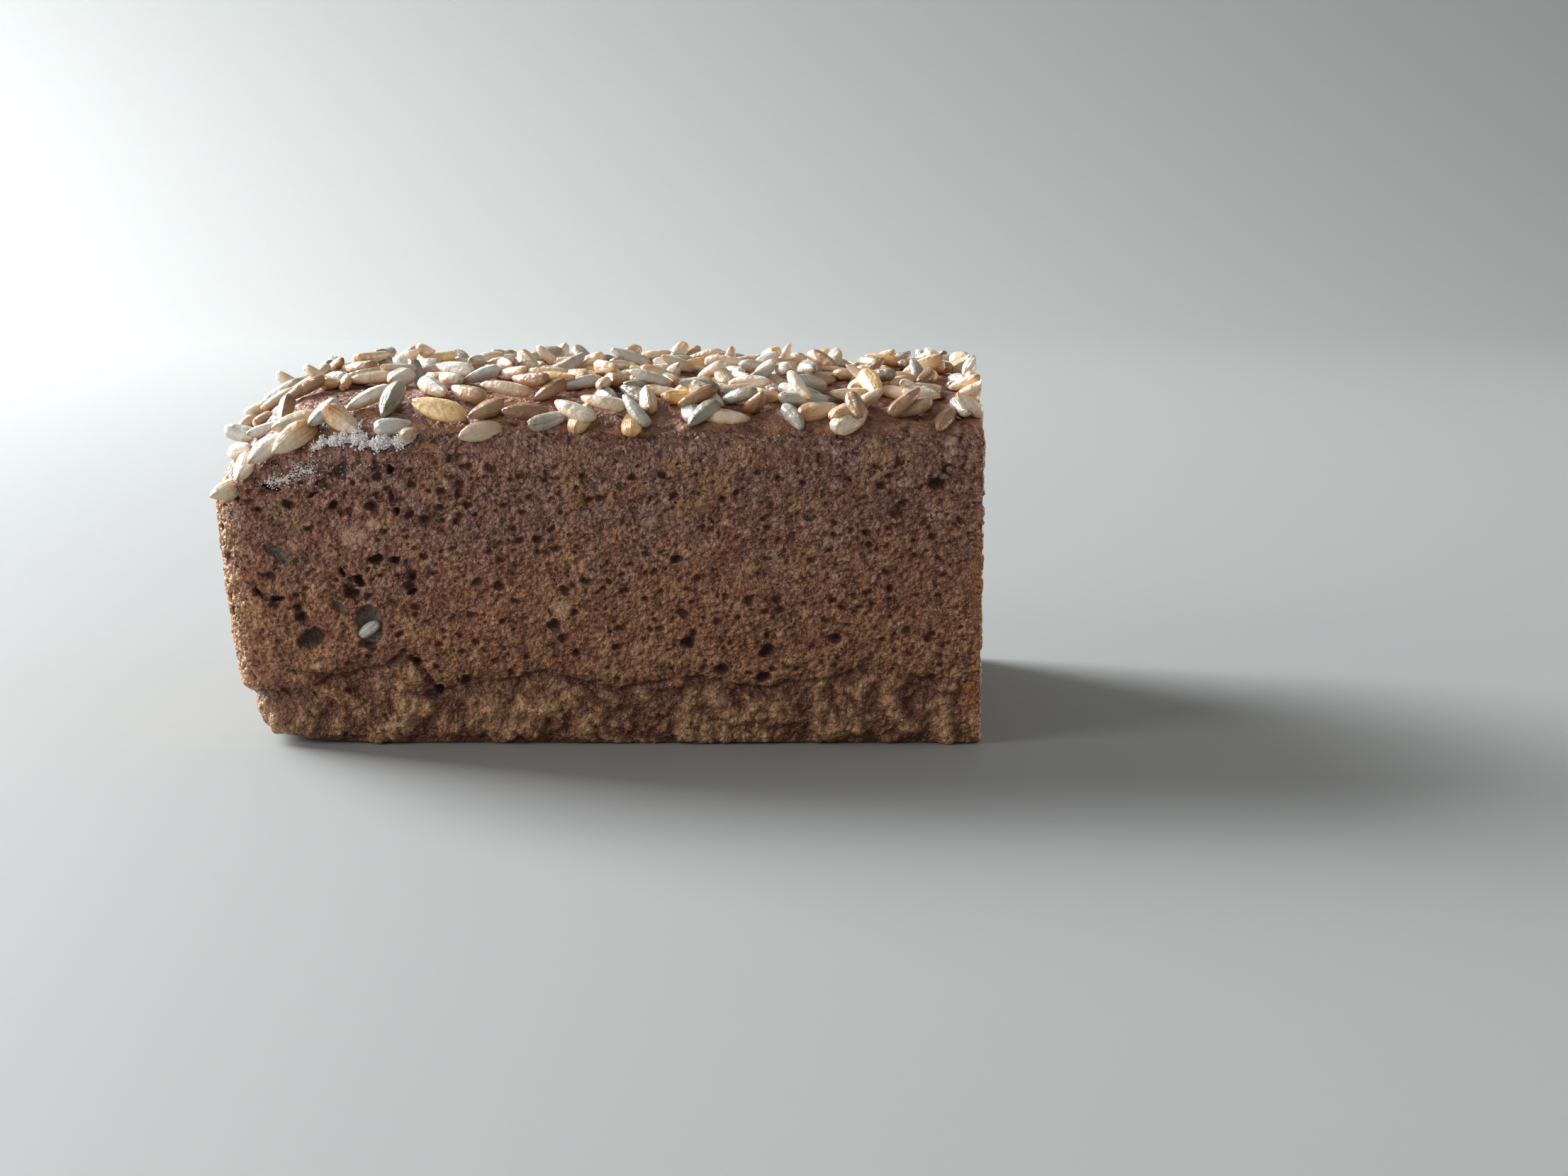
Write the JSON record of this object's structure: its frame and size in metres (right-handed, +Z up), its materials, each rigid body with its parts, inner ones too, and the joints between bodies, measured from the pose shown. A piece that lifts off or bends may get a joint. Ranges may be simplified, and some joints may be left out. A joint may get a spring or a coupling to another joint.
{
  "type": "rye bread loaf",
  "caption": "Uncut half of a dense seeded rye tin loaf: porous brown pan crust, rounded heel, low domed top covered in sunflower kernels, knife-cut crumb at the other end.",
  "frame": {"origin": "middle of the flat base's bounding rectangle, on the surface that the loaf stands on", "axes": "+X along the loaf from the heel to the knife's cut, +Y from the shown long side to the other side, +Z up to the seeded top"},
  "size_m": [0.1545, 0.1082, 0.0757],
  "materials": {
    "crust": "matte, porous brown pan crust",
    "top_crust": "satin, mauve-brown baked skin",
    "crumb": "matte, open moist crumb",
    "sunflower_kernel": "satin, cream to toasted",
    "moist_kernel": "glossy, translucent greenish cream"
  },
  "bodies": {
    "root": {"loaf": "crust"}
  },
  "joints": []
}
